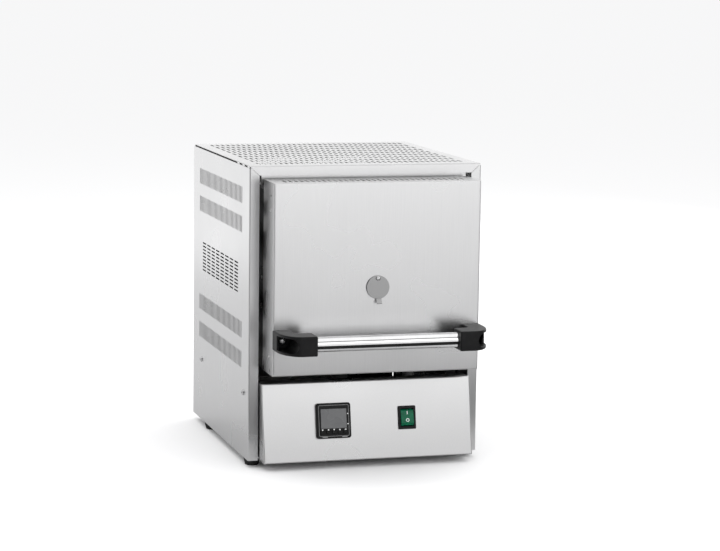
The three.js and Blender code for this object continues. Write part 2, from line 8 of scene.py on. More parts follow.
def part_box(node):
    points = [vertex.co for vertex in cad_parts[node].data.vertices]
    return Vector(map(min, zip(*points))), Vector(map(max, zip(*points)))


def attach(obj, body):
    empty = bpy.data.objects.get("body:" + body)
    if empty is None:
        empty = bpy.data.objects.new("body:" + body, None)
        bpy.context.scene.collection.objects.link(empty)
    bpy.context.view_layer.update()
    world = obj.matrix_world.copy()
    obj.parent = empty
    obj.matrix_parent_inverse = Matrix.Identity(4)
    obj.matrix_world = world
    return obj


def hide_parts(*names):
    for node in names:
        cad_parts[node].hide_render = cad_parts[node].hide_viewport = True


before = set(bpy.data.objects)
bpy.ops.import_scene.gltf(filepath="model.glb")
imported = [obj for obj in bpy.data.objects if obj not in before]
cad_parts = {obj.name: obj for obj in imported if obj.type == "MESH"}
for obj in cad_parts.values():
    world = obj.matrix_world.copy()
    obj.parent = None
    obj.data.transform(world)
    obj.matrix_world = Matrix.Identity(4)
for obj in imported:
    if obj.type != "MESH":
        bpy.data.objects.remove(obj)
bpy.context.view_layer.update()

MM = 0.001
SIDES = {"left": -1, "right": 1}
SHEET = 1.2 * MM                 # casing and door sheet
BEND = 1.9 * MM                  # outside radius of a fold
LAP = 1.0 * MM                   # how far a cutter runs past what it cuts


class Box:
    """The box around some CAD nodes at rest, with its faces and middle by name."""

    def __init__(self, *nodes):
        corners = [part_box(node) for node in nodes]
        self.x0, self.y0, self.z0 = (min(low[i] for low, _ in corners) for i in range(3))
        self.x1, self.y1, self.z1 = (max(high[i] for _, high in corners) for i in range(3))
        self.x = (self.x0 + self.x1) / 2
        self.y = (self.y0 + self.y1) / 2
        self.z = (self.z0 + self.z1) / 2
        self.w = self.x1 - self.x0
        self.d = self.y1 - self.y0
        self.h = self.z1 - self.z0


# ---- meshes -----------------------------------------------------------------------------------

def prism(outline, axis, start, end):
    """A closed solid: a flat outline swept along X, Y or Z. The outline holds the other two axes."""
    place = {
        "x": lambda a, b, t: (t, a, b),
        "y": lambda a, b, t: (a, t, b),
        "z": lambda a, b, t: (a, b, t),
    }[axis]
    bm = bmesh.new()
    near, far = ([bm.verts.new(place(a, b, t)) for a, b in outline] for t in (start, end))
    bm.faces.new(near)
    bm.faces.new(reversed(far))
    for i in range(len(outline)):
        j = (i + 1) % len(outline)
        bm.faces.new((near[i], far[i], far[j], near[j]))
    bmesh.ops.recalc_face_normals(bm, faces=bm.faces)
    return bm


def block(xs, ys, zs):
    corners = [(xs[0], ys[0]), (xs[1], ys[0]), (xs[1], ys[1]), (xs[0], ys[1])]
    return prism(corners, "z", *zs)


def arc(centre, radius, start, end, steps):
    """Points on a circle between two angles in degrees."""
    angles = [math.radians(start + (end - start) * i / steps) for i in range(steps + 1)]
    return [(centre[0] + radius * math.cos(a), centre[1] + radius * math.sin(a)) for a in angles]


def rounded_rectangle(centre, width, height, radius, steps=5):
    points = []
    for quarter, (sx, sy) in enumerate([(1, 1), (-1, 1), (-1, -1), (1, -1)]):
        corner = (centre[0] + sx * (width / 2 - radius), centre[1] + sy * (height / 2 - radius))
        points += arc(corner, radius, quarter * 90, quarter * 90 + 90, steps)
    return points


def stadium(centre, length, width):
    """A slot's outline, longer along its first axis."""
    return rounded_rectangle(centre, length, width, width * 0.499, steps=3)


def turned(outline):
    return [(b, a) for a, b in reversed(outline)]


def folded(path, thick, radius, steps=5):
    """Outline of a bent strip of sheet. The path is its outer face and only turns left."""
    outer, inner = [], []
    ends = len(path) - 1
    for i, point in enumerate(map(Vector, path)):
        before = (point - Vector(path[i - 1])).normalized() if i else None
        after = (Vector(path[i + 1]) - point).normalized() if i < ends else None
        if before is None or after is None:
            run = after or before
            outer.append(tuple(point))
            inner.append(tuple(point + Vector((-run.y, run.x)) * thick))
            continue
        turn = math.degrees(before.angle(after))
        reach = radius * math.tan(math.radians(turn / 2))
        centre = point - before * reach + Vector((-before.y, before.x)) * radius
        start = math.degrees(math.atan2(-before.x, before.y))
        outer += arc(centre, radius, start, start + turn, steps)
        inner += arc(centre, radius - thick, start, start + turn, steps)
    return outer + inner[::-1]


def lathe(profile, origin, axis, segments=32, closed=False):
    """A solid of revolution. The profile holds radius and distance along the axis."""
    along = Vector(axis).normalized()
    across = along.orthogonal().normalized()
    upward = along.cross(across)
    bm = bmesh.new()
    rings = []
    for radius, distance in profile:
        centre = Vector(origin) + along * distance
        turns = [math.tau * i / segments for i in range(segments if radius else 1)]
        rings.append([
            bm.verts.new(centre + radius * (across * math.cos(t) + upward * math.sin(t)))
            for t in turns
        ])
    pairs = list(zip(rings, rings[1:]))
    if closed:
        pairs.append((rings[-1], rings[0]))
    for a, b in pairs:
        for i in range(segments):
            j = (i + 1) % segments
            corners = [a[i % len(a)], a[j % len(a)], b[j % len(b)], b[i % len(b)]]
            bm.faces.new(list(dict.fromkeys(corners)))
    bmesh.ops.recalc_face_normals(bm, faces=bm.faces)
    return bm


def cylinder(radius, start, end, segments=32):
    """A round cutter or pin between two points."""
    start, end = Vector(start), Vector(end)
    length = (end - start).length
    return lathe([(0, 0), (radius, 0), (radius, length), (0, length)], start, end - start, segments)


def tube(outer, inner, start, end, segments=48):
    """A hollow round bar with broken edges."""
    start, end = Vector(start), Vector(end)
    length = (end - start).length
    edge = 0.3 * MM
    profile = [
        (outer - edge, 0), (outer, edge), (outer, length - edge), (outer - edge, length),
        (inner + edge, length), (inner, length - edge), (inner, edge), (inner + edge, 0),
    ]
    return lathe(profile, start, end - start, segments, closed=True)


def spaced(count, pitch):
    """Evenly spaced places about their middle."""
    return [(i - (count - 1) / 2) * pitch for i in range(count)]


def mirrored(side, near, far):
    """A stretch of X that lies on the left (-1) or on the right (1)."""
    return sorted((side * near, side * far))


def as_mesh(name, bm):
    """Mesh data made of the bmesh, which is freed."""
    mesh = bpy.data.meshes.new(name)
    bm.to_mesh(mesh)
    bm.free()
    return mesh


def linked(name, data):
    """A new object in the scene."""
    obj = bpy.data.objects.new(name, data)
    bpy.context.scene.collection.objects.link(obj)
    return obj


def gather(parts):
    """Several solids in one mesh. They must not touch each other."""
    whole = bmesh.new()
    for part in parts:
        mesh = as_mesh("part", part)
        whole.from_mesh(mesh)
        bpy.data.meshes.remove(mesh)
    return whole


def boolean(shape, tools, operation):
    target, *helpers = (linked("holder", as_mesh("holder", bm)) for bm in (shape, *tools))
    for helper in helpers:
        modifier = target.modifiers.new("boolean", "BOOLEAN")
        modifier.solver = "MANIFOLD"
        modifier.operation = operation
        modifier.object = helper
    evaluated = target.evaluated_get(bpy.context.evaluated_depsgraph_get())
    result = bmesh.new()
    result.from_mesh(evaluated.to_mesh())
    evaluated.to_mesh_clear()
    for obj in [target, *helpers]:
        mesh = obj.data
        bpy.data.objects.remove(obj)
        bpy.data.meshes.remove(mesh)
    if not result.faces:
        raise RuntimeError("a boolean left nothing")
    return result


def cut(shape, *tools):
    return boolean(shape, tools, "DIFFERENCE")


def join(shape, *others):
    return boolean(shape, others, "UNION")


def soften(bm, width, segments=2, pick=None, angle=35):
    """Rounds the sharp edges, or those that pick(middle, direction) accepts."""
    edges = []
    for edge in bm.edges:
        if len(edge.link_faces) != 2 or edge.calc_face_angle(0) < math.radians(angle):
            continue
        first, second = (vert.co for vert in edge.verts)
        if pick is None or pick((first + second) / 2, (second - first).normalized()):
            edges.append(edge)
    bmesh.ops.bevel(bm, geom=edges, offset=width, segments=segments, profile=0.5,
                    affect="EDGES", clamp_overlap=True)
    return bm


def wire(points, radius):
    """A round wire along a path, as a mesh."""
    curve = bpy.data.curves.new("wire", "CURVE")
    curve.dimensions = "3D"
    curve.bevel_depth = radius
    curve.bevel_resolution = 1
    curve.use_fill_caps = True
    spline = curve.splines.new("POLY")
    spline.points.add(len(points) - 1)
    for target, point in zip(spline.points, points):
        target.co = (*point, 1)
    obj = linked("wire", curve)
    mesh = bpy.data.meshes.new_from_object(obj)
    bpy.data.objects.remove(obj)
    bm = bmesh.new()
    bm.from_mesh(mesh)
    bpy.data.meshes.remove(mesh)
    return bm


def piece(name, bm, body, slot, *nodes, look=None, sharp=32):
    """Makes an object of the mesh, shades it, and puts it on its CAD body."""
    bmesh.ops.recalc_face_normals(bm, faces=bm.faces)
    mesh = as_mesh(name, bm)
    mesh.materials.append(LOOKS[look or slot])
    mesh.polygons.foreach_set("use_smooth", [True] * len(mesh.polygons))
    mesh.set_sharp_from_angle(angle=math.radians(sharp))
    obj = linked(name, mesh)
    weighted = obj.modifiers.new("normals", "WEIGHTED_NORMAL")
    weighted.keep_sharp = True
    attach(obj, body)
    if nodes:
        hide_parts(*nodes)
    return obj


def copied(node):
    """A CAD solid's mesh, with its flat faces made whole again."""
    bm = bmesh.new()
    bm.from_mesh(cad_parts[node].data)
    bmesh.ops.remove_doubles(bm, verts=bm.verts, dist=0.002 * MM)
    bmesh.ops.dissolve_limit(bm, angle_limit=math.radians(1), verts=bm.verts, edges=bm.edges)
    return bm


# ---- materials --------------------------------------------------------------------------------

class Look:
    """A Principled material: constants on its shader, and textures that vary it."""

    def __init__(self, name, metallic=0.0, **constants):
        self.material = bpy.data.materials.new(name)
        self.material.use_nodes = True
        self.tree = self.material.node_tree
        self.shader = next(n for n in self.tree.nodes if n.type == "BSDF_PRINCIPLED")
        self.shader.inputs["Metallic"].default_value = metallic
        for socket, value in constants.items():
            self.shader.inputs[socket.replace("_", " ")].default_value = value
        self.place = self.tree.nodes.new("ShaderNodeTexCoord").outputs["Object"]

    def node(self, kind, **settings):
        made = self.tree.nodes.new(f"ShaderNode{kind}")
        for name, value in settings.items():
            setattr(made, name, value)
        return made

    def link(self, source, target):
        self.tree.links.new(source, target)

    def stretched(self, stretch):
        mapping = self.node("Mapping")
        mapping.inputs["Scale"].default_value = stretch
        self.link(self.place, mapping.inputs["Vector"])
        return mapping.outputs["Vector"]

    def noise(self, scale, stretch=(1, 1, 1), detail=3.0, roughness=0.5):
        texture = self.node("TexNoise")
        texture.inputs["Scale"].default_value = scale
        texture.inputs["Detail"].default_value = detail
        texture.inputs["Roughness"].default_value = roughness
        self.link(self.stretched(stretch), texture.inputs["Vector"])
        return texture.outputs["Fac"]

    def cells(self, scale):
        texture = self.node("TexVoronoi")
        texture.inputs["Scale"].default_value = scale
        self.link(self.place, texture.inputs["Vector"])
        return texture.outputs["Color"]

    def spread(self, source, low, high, start=0.3, end=0.7):
        """The source's range from start to end becomes low to high."""
        ranged = self.node("MapRange")
        for name, value in {"From Min": start, "From Max": end, "To Min": low, "To Max": high}.items():
            ranged.inputs[name].default_value = value
        self.link(source, ranged.inputs["Value"])
        return ranged.outputs["Result"]

    def blend(self, source, low, high, start=0.3, end=0.7):
        """The source's range from start to end becomes a change from one colour to another."""
        ramp = self.node("ValToRGB")
        for element, place, colour in zip(ramp.color_ramp.elements, (start, end), (low, high)):
            element.position = place
            element.color = (*colour, 1)
        self.link(source, ramp.inputs["Fac"])
        return ramp.outputs["Color"]

    def colour(self, source):
        self.link(source, self.shader.inputs["Base Color"])
        return self

    def roughness(self, source):
        self.link(source, self.shader.inputs["Roughness"])
        return self

    def bump(self, source, distance, strength=1.0):
        bump = self.node("Bump")
        bump.inputs["Distance"].default_value = distance
        bump.inputs["Strength"].default_value = strength
        self.link(source, bump.inputs["Height"])
        self.link(bump.outputs["Normal"], self.shader.inputs["Normal"])
        return self


def grey(value):
    return (value, value, value * 1.005)


def brushed(name, grain, tone=0.73, finish=0.28):
    """Stainless sheet. The grain's stretch is small along the brushing and large across it."""
    look = Look(name, metallic=1.0)
    streaks = look.noise(1.0, grain, detail=2.0)
    clouds = look.noise(9.0, detail=2.0)
    look.colour(look.blend(streaks, grey(tone * 0.98), grey(tone * 1.02)))
    look.roughness(look.spread(clouds, finish - 0.02, finish + 0.03))
    return look.bump(streaks, 0.006 * MM, 0.4).material


def galvanised():
    look = Look("galvanised", metallic=0.9)
    spangle = look.cells(160.0)
    dirt = look.noise(30.0)
    # The spangle's greys are darker than bare galvanised sheet: painted shade for the dim inside of the
    # casing.
    look.colour(look.blend(spangle, (0.22, 0.23, 0.24), (0.34, 0.35, 0.36)))
    look.roughness(look.spread(dirt, 0.42, 0.6))
    return look.material


def speckled(name, low, high, scale, rough, bump_depth, metallic=0.0, **constants):
    """A material with mottled colour and a grained surface."""
    look = Look(name, metallic=metallic, **constants)
    grain = look.noise(scale, detail=4.0, roughness=0.6)
    clouds = look.noise(scale / 12, detail=2.0)
    look.colour(look.blend(clouds, low, high))
    look.roughness(look.spread(grain, *rough))
    return look.bump(grain, bump_depth * MM, 0.6).material


def chrome():
    look = Look("chrome", metallic=1.0)
    haze = look.noise(60.0)
    look.colour(look.blend(haze, grey(0.86), grey(0.93)))
    look.roughness(look.spread(haze, 0.03, 0.05))
    return look.material


def display_glass():
    look = Look("display", Coat_Weight=0.6, Coat_Roughness=0.06, Specular_IOR_Level=0.4)
    haze = look.noise(45.0, detail=2.0)
    look.colour(look.blend(haze, (0.100, 0.102, 0.106), (0.122, 0.124, 0.127)))
    look.roughness(look.spread(haze, 0.22, 0.34))
    return look.material


def green_lens():
    look = Look("green_plastic", Specular_IOR_Level=0.22)
    depth = look.noise(170.0, detail=2.0)
    look.colour(look.blend(depth, (0.001, 0.080, 0.038), (0.002, 0.130, 0.062)))
    look.roughness(look.spread(depth, 0.14, 0.26))
    return look.bump(depth, 0.05 * MM, 0.5).material


def fibre_board():
    look = Look("fibre")
    strands = look.noise(260.0, (1, 1, 2.5), detail=6.0, roughness=0.7)
    stains = look.noise(14.0)
    look.colour(look.blend(stains, (0.70, 0.66, 0.58), (0.86, 0.84, 0.79)))
    look.roughness(look.spread(strands, 0.85, 1.0))
    return look.bump(strands, 0.5 * MM, 0.9).material


UPRIGHT_GRAIN = (2200.0, 2200.0, 22.0)
LEVEL_GRAIN = (2200.0, 22.0, 2200.0)           # from front to back, on the lid
# Two colours, the grain's scale, its two roughnesses and its depth in millimetres.
SPECKLED = {
    "dark_steel": ((0.010, 0.010, 0.011), (0.020, 0.020, 0.021), 900, (0.45, 0.6), 0.02),
    "zinc_screw": (grey(0.62), grey(0.78), 700, (0.2, 0.32), 0.01),
    "black_plastic": ((0.004, 0.004, 0.0045), (0.007, 0.007, 0.0075), 1500, (0.36, 0.46), 0.03),
    "rubber": ((0.008, 0.008, 0.008), (0.014, 0.014, 0.014), 800, (0.7, 0.9), 0.06),
    "brick": ((0.62, 0.53, 0.40), (0.78, 0.71, 0.58), 420, (0.85, 1.0), 0.3),
    "hearth": ((0.48, 0.41, 0.32), (0.66, 0.58, 0.46), 300, (0.8, 0.95), 0.2),
    "element": ((0.050, 0.044, 0.042), (0.105, 0.090, 0.082), 600, (0.55, 0.75), 0.05),
    "aluminium": (grey(0.55), grey(0.66), 500, (0.35, 0.5), 0.02),
    "relay_white": ((0.62, 0.62, 0.60), (0.72, 0.72, 0.69), 900, (0.45, 0.6), 0.02),
    "print_white": ((0.70, 0.71, 0.71), (0.80, 0.81, 0.81), 1200, (0.4, 0.5), 0.005),
    "bezel": ((0.004, 0.004, 0.0045), (0.007, 0.007, 0.0075), 1500, (0.30, 0.38), 0.02),
    # Grey for painted highlights on the controller: the ring inside its rim and the bars under its keys.
    "painted_highlight_grey": (grey(0.20), grey(0.26), 1200, (0.35, 0.45), 0.005),
}
CONSTANTS = {
    "dark_steel": {"metallic": 0.3},
    "zinc_screw": {"metallic": 1.0},
    "element": {"metallic": 0.6},
    "aluminium": {"metallic": 1.0},
    "black_plastic": {"Specular_IOR_Level": 0.22},
    "bezel": {"Specular_IOR_Level": 0.2},
}


def make_looks():
    looks = {
        "stainless": brushed("stainless", UPRIGHT_GRAIN),
        "lid": brushed("stainless_lid", LEVEL_GRAIN),
        "flap": brushed("stainless_flap", UPRIGHT_GRAIN, tone=0.42, finish=0.34),
        "galvanised": galvanised(),
        "chrome": chrome(),
        "display": display_glass(),
        "green_plastic": green_lens(),
        "fibre": fibre_board(),
    }
    for name, values in SPECKLED.items():
        looks[name] = speckled(name, *values, **CONSTANTS.get(name, {}))
    return looks


# ---- screws -----------------------------------------------------------------------------------

def cross_recess(centre, axis, radius, depth):
    """Two crossed slots that open forward along the axis, as cutters."""
    turn = Vector((0, 0, 1)).rotation_difference(Vector(axis)).to_matrix().to_4x4()
    half, thin = radius * 0.62, radius * 0.13
    arms = []
    for xs, ys in (((-half, half), (-thin, thin)), ((-thin, thin), (-half, half))):
        arm = block(xs, ys, (-depth, radius))
        bmesh.ops.transform(arm, matrix=Matrix.Translation(centre) @ turn, verts=arm.verts)
        arms.append(arm)
    return arms


def pan_screw(name, seat, axis, radius, height, body, *nodes):
    """A pan-head screw whose head stands on `seat` and points along the axis."""
    crown = [
        (radius * math.sin(math.radians(a)), height * (0.42 + 0.58 * math.cos(math.radians(a))))
        for a in range(0, 91, 10)
    ]
    shank = [(radius, 0.0), (radius * 0.55, 0.0), (radius * 0.5, -height), (0, -height)]
    top = Vector(seat) + Vector(axis) * height
    head = lathe(crown + shank, seat, axis, 28)
    head = cut(head, *cross_recess(top, axis, radius, height * 0.55))
    piece(name, head, body, "zinc_screw", *nodes, sharp=40)


def screw_grid(name, xs, y, zs, radius, height, body, skip=()):
    """Screws that face the rear where some columns and rows cross."""
    for i, x in enumerate(xs):
        for j, z in enumerate(zs):
            if (i, j) not in skip:
                pan_screw(f"{name}_{i}{j}", (x, y, z), (0, 1, 0), radius, height, body)


def rivet(name, profile, seat, side, body, segments):
    """A domed head that faces left or right."""
    piece(name, lathe(profile, seat, (side, 0, 0), segments), body, "zinc_screw", sharp=50)


# ---- casing -----------------------------------------------------------------------------------

casing = Box("left_side_panel", "right_side_panel", "top_panel")
seam_z = Box("left_side_panel").z1             # top edge of the side panels, under the lid's lip
flange_x = Box("control_panel").x1 + 1.5 * MM  # inner edge of the folded flanges
opening_top = Box("top_panel").z0

VENT = {"count": 35, "pitch": 7.68 * MM, "long": 23 * MM, "wide": 3.3 * MM, "middle": 174.5 * MM}
VENT_SKIN = 0.45 * MM            # sheet left where slots are cut
VENT_HEIGHTS = [132.5 * MM, 173.5 * MM, 317.5 * MM, 357.5 * MM]
REAR_VENTS = {"count": 26, "heights": [99 * MM, 134 * MM, 330 * MM, 365 * MM]}
LOUVRE = {"rows": 9, "columns": 8, "rise": 4.9 * MM, "step": 28.6 * MM, "long": 22 * MM, "wide": 2.1 * MM}
LOUVRE_MIDDLE = (175 * MM, 242.3 * MM)         # from the casing's front and underside
LID = {"count": 38, "rows": 9, "pitch": 7.7 * MM, "step": 35 * MM, "long": 22.5 * MM, "wide": 3.3 * MM}


def mitre_z(x):
    share = (abs(x) - flange_x) / (casing.x1 - flange_x)
    return opening_top + share * (casing.z1 - opening_top)


def slots(axis, outlines, span):
    return gather([prism(outline, axis, *span) for outline in outlines])


def side_slots(side):
    """The four bands of upright vents and the field of level louvres, as cutters."""
    outlines = []
    for height in VENT_HEIGHTS:
        for along in spaced(VENT["count"], VENT["pitch"]):
            centre = (casing.z0 + height, casing.y0 + VENT["middle"] + along)
            outlines.append(turned(stadium(centre, VENT["long"], VENT["wide"])))
    for rise in spaced(LOUVRE["rows"], LOUVRE["rise"]):
        for along in spaced(LOUVRE["columns"], LOUVRE["step"]):
            centre = (casing.y0 + LOUVRE_MIDDLE[0] + along, casing.z0 + LOUVRE_MIDDLE[1] + rise)
            outlines.append(stadium(centre, LOUVRE["long"], LOUVRE["wide"]))
    return slots("x", outlines, mirrored(side, casing.x1 - 3 * MM, casing.x1 + LAP))


def vent_pockets(side):
    """Behind each band of vents the sheet is thinner, as a cutter."""
    half_y = VENT["count"] * VENT["pitch"] / 2
    half_z = VENT["long"] / 2 + 2 * MM
    y = casing.y0 + VENT["middle"]
    xs = mirrored(side, casing.x1 - VENT_SKIN, casing.x1 - 2 * SHEET)
    ys = (y - half_y, y + half_y)
    middles = [casing.z0 + height for height in VENT_HEIGHTS]
    return gather([block(xs, ys, (z - half_z, z + half_z)) for z in middles])


def mitre_cutter(side, ys):
    """Takes a side panel's flange away above the mitre line."""
    seam = 0.55 * MM
    run = 5 * MM
    rise = run * (casing.z1 - opening_top) / (casing.x1 - flange_x)
    inner, outer = side * (flange_x - run), side * (casing.x1 + run)
    outline = [
        (inner, opening_top - rise - seam),
        (outer, casing.z1 + rise - seam),
        (inner, casing.z1 + 9 * MM),
    ]
    return prism(outline, "y", *ys)


def side_sheet(name, side):
    """A side panel: a channel with a low flange, its vents, and a mitre at each upper corner."""
    channel = folded(
        [(flange_x, casing.y0), (casing.x1, casing.y0), (casing.x1, casing.y1), (flange_x, casing.y1)],
        SHEET, BEND)
    body = prism([(side * x, y) for x, y in channel], "z", casing.z0, seam_z)
    inward = mirrored(side, casing.x1 - SHEET / 2, casing.x1 - 24 * MM)
    low_flange = block(inward, (casing.y0 + 13.5 * MM, casing.y1 - 0.5 * MM), (casing.z0, casing.z0 + SHEET))
    body = join(body, low_flange)
    body = cut(
        body,
        mitre_cutter(side, (casing.y0 - LAP, casing.y0 + SHEET + 0.8 * MM)),
        mitre_cutter(side, (casing.y1 - SHEET - 0.8 * MM, casing.y1 + LAP)),
        vent_pockets(side),
        side_slots(side),
    )
    piece(f"side_sheet_{name}", body, "casing", "stainless", f"{name}_side_panel")


def lid_slots():
    outlines = []
    for y in spaced(LID["rows"], LID["step"]):
        for x in spaced(LID["count"], LID["pitch"]):
            outlines.append(turned(stadium((casing.y + y, x), LID["long"], LID["wide"])))
    return slots("z", outlines, (casing.z1 - 3 * MM, casing.z1 + LAP))


def lid_sheet():
    """The lid: a shallow pan with a lip at each side, and mitred flanges in front and behind."""
    shell = block((casing.x0, casing.x1), (casing.y0, casing.y1), (opening_top, casing.z1))
    soften(shell, BEND, 5, lambda middle, run: middle.z > casing.z1 - LAP)
    soften(shell, 0.4 * MM, 2, lambda middle, run: abs(run.z) > 0.99)
    inside = block(
        (casing.x0 + SHEET, casing.x1 - SHEET),
        (casing.y0 + SHEET, casing.y1 - SHEET),
        (opening_top - LAP, casing.z1 - SHEET),
    )
    lip = seam_z + 0.02 * MM
    half_x, half_y = LID["count"] * LID["pitch"] / 2, LID["rows"] * LID["step"] / 2
    field = block((-half_x, half_x), (casing.y - half_y, casing.y + half_y),
                  (casing.z1 - 2 * SHEET, casing.z1 - VENT_SKIN))
    tools = [inside, field]
    for side in SIDES.values():
        edge = mirrored(side, casing.x1 - SHEET - LAP, casing.x1 + LAP)
        tools.append(block(edge, (casing.y0 + SHEET, casing.y1 - SHEET), (opening_top - LAP, lip)))
        tip_x = casing.x1 - 0.6 * MM
        corner_cut = [
            (side * flange_x, opening_top - LAP),
            (side * flange_x, opening_top),
            (side * tip_x, mitre_z(tip_x)),
            (side * (casing.x1 + LAP), mitre_z(tip_x)),
            (side * (casing.x1 + LAP), opening_top - LAP),
        ]
        tools.append(prism(corner_cut, "y", casing.y0 - LAP, casing.y1 + LAP))
    body = cut(shell, *tools)
    piece("lid_sheet", cut(body, lid_slots()), "casing", "stainless", "top_panel", look="lid")


INLET_LAP = 5 * MM               # how far the inlet's plate covers the rear sheet
REAR_SCREW_X = 138 * MM


def rear_sheet():
    """The back, with four bands of vents and a corner left out for the inlet's plate."""
    plate = Box("rear_panel")
    inlet = Box("power_inlet")
    vents = []
    for height in REAR_VENTS["heights"]:
        for x in spaced(REAR_VENTS["count"], VENT["pitch"]):
            vents.append(turned(stadium((plate.z0 + height, x), VENT["long"], VENT["wide"])))
    span = (plate.y0 - LAP, plate.y1 + LAP)
    body = block((plate.x0, plate.x1), (plate.y0, plate.y1), (plate.z0, plate.z1))
    corner = block((inlet.x0 + INLET_LAP, plate.x1 + LAP), span, (plate.z0 - LAP, inlet.z1 - INLET_LAP))
    body = cut(body, slots("y", vents, span), corner)
    piece("rear_sheet", body, "casing", "stainless", "rear_panel")
    levels = (plate.z0 + 12 * MM, plate.z0 + 200 * MM, plate.z1 - 14 * MM)
    middle_one, under_inlet = (1, 1), (2, 0)
    screw_grid("rear_screw", (-REAR_SCREW_X, 0.0, REAR_SCREW_X), plate.y1, levels,
               3.4 * MM, 0.9 * MM, "casing", skip=(middle_one, under_inlet))


def side_screws():
    for name, side in SIDES.items():
        for end in ("front", "rear"):
            node = f"side_screw_{name}_{end}"
            box = Box(node)
            seat = (side * (casing.x1 + 0.05 * MM), box.y, box.z)
            pan_screw(f"screw_{name}_{end}", seat, (side, 0, 0), 4 * MM, 2.6 * MM, "casing", node)


def feet():
    """Rubber bumpers with a rounded tread and a sunken fixing screw."""
    for name in SIDES:
        for end in ("front", "rear"):
            node = f"foot_{end}_{name}"
            box = Box(node)
            radius = box.w / 2
            tread = radius - 1.8 * MM
            profile = [(0, 3 * MM), (4 * MM, 3 * MM), (4.4 * MM, 0.4 * MM), (5 * MM, 0)]
            profile += [(tread - 1.2 * MM, 0), (tread - 0.4 * MM, 0.3 * MM), (tread, 1.1 * MM)]
            profile += [(radius - 0.3 * MM, 7.2 * MM), (radius, 8.0 * MM), (radius, box.h), (0, box.h)]
            body = lathe(profile, (box.x, box.y, box.z0), (0, 0, 1), 40)
            piece(f"bumper_{end}_{name}", body, "casing", "rubber", node, sharp=50)
            pan_screw(f"bumper_screw_{end}_{name}", (box.x, box.y, box.z0 + 2.9 * MM), (0, 0, -1),
                      3 * MM, 1.2 * MM, "casing")


def crossbar():
    box = Box("front_crossbar")
    outline = folded([(box.y1, box.z0), (box.y0, box.z0), (box.y0, box.z1)][::-1], SHEET, BEND)
    piece("crossbar_angle", prism(outline, "x", box.x0, box.x1), "casing", "stainless", "front_crossbar")


# ---- chamber ----------------------------------------------------------------------------------

def refine(name, node, body, slot, width, segments=2):
    """The CAD solid with its sharp edges broken."""
    piece(name, soften(copied(node), width, segments), body, slot, node)


def element_path(name):
    """The middle line of a heating coil: four level runs joined at alternate ends."""
    box = Box(f"heating_element_{name}")
    rise = (box.h - 6 * MM) / 3
    rows = [box.z0 + 3 * MM + i * rise for i in range(4)]
    near, far = box.y0 + 3 * MM, box.y1 - 3 * MM
    path = []
    for i, z in enumerate(rows):
        path += [(near, z), (far, z)] if i % 2 == 0 else [(far, z), (near, z)]
    return box.x, path


def coil_points(x, path, radius, pitch, per_turn=9):
    """A helix wound about a path in the plane of constant x."""
    points = []
    phase = 0.0
    for (y0, z0), (y1, z1) in zip(path, path[1:]):
        length = math.hypot(y1 - y0, z1 - z0)
        run = Vector((0, (y1 - y0) / length, (z1 - z0) / length))
        side = run.cross(Vector((1, 0, 0)))
        steps = max(2, round(length / pitch * per_turn))
        for i in range(steps):
            angle = phase + math.tau * i / per_turn
            centre = Vector((x, y0, z0)) + run * (length * i / steps)
            points.append(centre + radius * (Vector((1, 0, 0)) * math.cos(angle) + side * math.sin(angle)))
        phase += math.tau * steps / per_turn
    return points


def heating_coils():
    for name in SIDES:
        x, path = element_path(name)
        coil = wire(coil_points(x, path, 2.2 * MM, 3.2 * MM), 0.55 * MM)
        piece(f"heating_coil_{name}", coil, "casing", "element", f"heating_element_{name}", sharp=80)


def chamber():
    for node in ("chamber_floor", "chamber_roof", "chamber_back_wall", "chamber_left_wall",
                 "chamber_right_wall"):
        refine(node.replace("chamber_", "brick_"), node, "casing", "brick", 0.6 * MM)
    refine("hearth_slab", "hearth_plate", "casing", "hearth", 1.0 * MM, 3)
    refine("front_plate_sheet", "chamber_front_plate", "casing", "stainless", 0.3 * MM)
    refine("probe_sheath", "thermocouple", "casing", "brick", 0.3 * MM)
    heating_coils()


# ---- door lift --------------------------------------------------------------------------------

PIN_HEAD = [(0, 1.1 * MM), (2.2 * MM, 0.95 * MM), (3.4 * MM, 0.5 * MM), (3.8 * MM, 0), (0, 0)]
PIN_PLACES = [(18 * MM, 210 * MM), (42 * MM, 133 * MM)]   # behind the casing's front, above its foot
LIFT_SCREW_PLACE = (14.6 * MM, 248.7 * MM)


def door_lift():
    """The arms and their plates, a screw in each door bracket, and the heads of its two pins."""
    for name, side in SIDES.items():
        refine(f"lift_plate_{name}", f"hinge_plate_{name}", "casing", "dark_steel", 0.3 * MM)
        refine(f"lift_bracket_{name}", f"door_bracket_{name}", "door", "dark_steel", 0.3 * MM)
        for level in ("upper", "lower"):
            node = f"{level}_arm_{name}"
            refine(f"lift_{level}_arm_{name}", node, node, "dark_steel", 0.3 * MM)
        box = Box(f"door_bracket_{name}")
        outer = box.x0 if side < 0 else box.x1
        seat = (outer, casing.y0 + LIFT_SCREW_PLACE[0], casing.z0 + LIFT_SCREW_PLACE[1])
        pan_screw(f"lift_screw_{name}", seat, (side, 0, 0), 2.6 * MM, 1.2 * MM, "door")
        for i, (y, z) in enumerate(PIN_PLACES):
            place = (outer, casing.y0 + y, casing.z0 + z)
            rivet(f"pivot_head_{name}_{i}", PIN_HEAD, place, side, "door", 24)


# ---- door -------------------------------------------------------------------------------------

